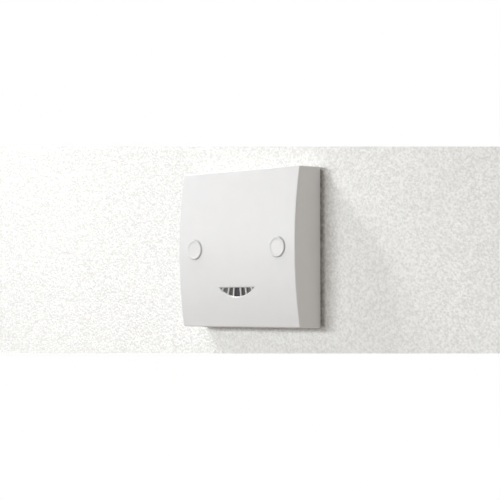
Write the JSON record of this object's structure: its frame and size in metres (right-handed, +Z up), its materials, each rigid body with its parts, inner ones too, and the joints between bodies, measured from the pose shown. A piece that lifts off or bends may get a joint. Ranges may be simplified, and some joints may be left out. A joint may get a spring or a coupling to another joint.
{
  "type": "microwave presence sensor",
  "caption": "Square wall-mounted microwave presence sensor with a bowed face, two screw caps and a crescent window crossed by fanned bars.",
  "frame": {"origin": "centre of the plate on the wall plane", "axes": "+X to the right as seen from the room, +Y into the wall, +Z up"},
  "size_m": [0.086, 0.0485, 0.086],
  "materials": {
    "cover_white": "satin white moulded plastic",
    "cap_white": "satin white moulded plastic",
    "smoked_lens": "smoked clear plastic, polished",
    "plated_steel": "bright zinc plate",
    "housing_white": "fine-textured moulded plastic",
    "terminal_grey": "fine-textured moulded plastic",
    "brass_contact": "bare brass",
    "board_green": "green solder mask",
    "copper": "gilt copper",
    "tin_plate": "tinned sheet",
    "relay_case": "black moulding",
    "capacitor_box": "yellow box",
    "capacitor_can": "dark sleeve on an aluminium can",
    "ferrite": "ground ferrite",
    "winding_tape": "yellow tape",
    "varistor_coat": "blue dipped coat",
    "fuse_case": "brown-black moulding",
    "chip_black": "black epoxy",
    "connector_black": "black nylon",
    "clear_resin": "clear epoxy",
    "dark_resin": "daylight-blocking epoxy",
    "red_resin": "tinted epoxy"
  },
  "bodies": {
    "base": {"rear_housing": "housing_white", "power_board": "board_green", "control_board": "board_green", "power_board_screws": "plated_steel", "control_board_screws": "plated_steel", "terminal_block": "terminal_grey", "terminal_contacts": "brass_contact", "relay": "relay_case", "mains_capacitor": "capacitor_box", "rectifier": "chip_black", "supply_chip": "chip_black", "supply_capacitor": "capacitor_can", "output_capacitor": "capacitor_can", "transformer_core": "ferrite", "transformer_winding": "winding_tape", "varistor": "varistor_coat", "fuse": "fuse_case", "link_socket": "connector_black", "link_header": "connector_black", "antenna_board": "board_green", "antenna_patches": "copper", "antenna_header": "connector_black", "shield_can": "tin_plate", "processor": "chip_black", "crystal": "tin_plate", "surface_chips": "chip_black", "infrared_receiver": "dark_resin", "light_sensor": "clear_resin", "status_light": "red_resin"},
    "cover": {"front_cover": "cover_white", "window_lens": "smoked_lens"},
    "cap_left": {"screw_cap_left": "cap_white"},
    "cap_right": {"screw_cap_right": "cap_white"},
    "box_screw_left": {"fixing_screw_left": "plated_steel"},
    "box_screw_right": {"fixing_screw_right": "plated_steel"},
    "clamp_screw_1": {"terminal_screw_1": "plated_steel"},
    "clamp_cage_1": {"terminal_cage_1": "plated_steel"},
    "clamp_screw_2": {"terminal_screw_2": "plated_steel"},
    "clamp_cage_2": {"terminal_cage_2": "plated_steel"},
    "clamp_screw_3": {"terminal_screw_3": "plated_steel"},
    "clamp_cage_3": {"terminal_cage_3": "plated_steel"},
    "clamp_screw_4": {"terminal_screw_4": "plated_steel"},
    "clamp_cage_4": {"terminal_cage_4": "plated_steel"}
  },
  "joints": [
    {"name": "cover_lifts_off", "type": "slide", "parent": "base", "child": "cover", "axis": [0, -1, 0], "range_m": [0, 0.04]},
    {"name": "cap_left_pulls_out", "type": "slide", "parent": "cover", "child": "cap_left", "axis": [0, -1, 0], "range_m": [0, 0.012]},
    {"name": "box_screw_left_turns", "type": "hinge", "parent": "cover", "child": "box_screw_left", "pos_m": [-0.03015, 0, 0], "axis": [0, 1, 0], "continuous": true},
    {"name": "cap_right_pulls_out", "type": "slide", "parent": "cover", "child": "cap_right", "axis": [0, -1, 0], "range_m": [0, 0.012]},
    {"name": "box_screw_right_turns", "type": "hinge", "parent": "cover", "child": "box_screw_right", "pos_m": [0.03015, 0, 0], "axis": [0, 1, 0], "continuous": true},
    {"name": "clamp_screw_1_turns", "type": "hinge", "parent": "base", "child": "clamp_screw_1", "pos_m": [-0.01143, 0.0206, -0.02435], "axis": [0, -1, 0], "range_deg": [0, 2500]},
    {"name": "clamp_cage_1_rises", "type": "slide", "parent": "base", "child": "clamp_cage_1", "axis": [0, 1, 0], "range_m": [0, 0.00347]},
    {"name": "clamp_screw_2_turns", "type": "hinge", "parent": "base", "child": "clamp_screw_2", "pos_m": [-0.00381, 0.0206, -0.02435], "axis": [0, -1, 0], "range_deg": [0, 2500]},
    {"name": "clamp_cage_2_rises", "type": "slide", "parent": "base", "child": "clamp_cage_2", "axis": [0, 1, 0], "range_m": [0, 0.00347]},
    {"name": "clamp_screw_3_turns", "type": "hinge", "parent": "base", "child": "clamp_screw_3", "pos_m": [0.00381, 0.0206, -0.02435], "axis": [0, -1, 0], "range_deg": [0, 2500]},
    {"name": "clamp_cage_3_rises", "type": "slide", "parent": "base", "child": "clamp_cage_3", "axis": [0, 1, 0], "range_m": [0, 0.00347]},
    {"name": "clamp_screw_4_turns", "type": "hinge", "parent": "base", "child": "clamp_screw_4", "pos_m": [0.01143, 0.0206, -0.02435], "axis": [0, -1, 0], "range_deg": [0, 2500]},
    {"name": "clamp_cage_4_rises", "type": "slide", "parent": "base", "child": "clamp_cage_4", "axis": [0, 1, 0], "range_m": [0, 0.00347]}
  ],
  "couplings": [
    {"joint": "clamp_screw_1_turns", "follows": "clamp_cage_1_rises", "rad_per_m": 12566},
    {"joint": "clamp_screw_2_turns", "follows": "clamp_cage_2_rises", "rad_per_m": 12566},
    {"joint": "clamp_screw_3_turns", "follows": "clamp_cage_3_rises", "rad_per_m": 12566},
    {"joint": "clamp_screw_4_turns", "follows": "clamp_cage_4_rises", "rad_per_m": 12566}
  ]
}
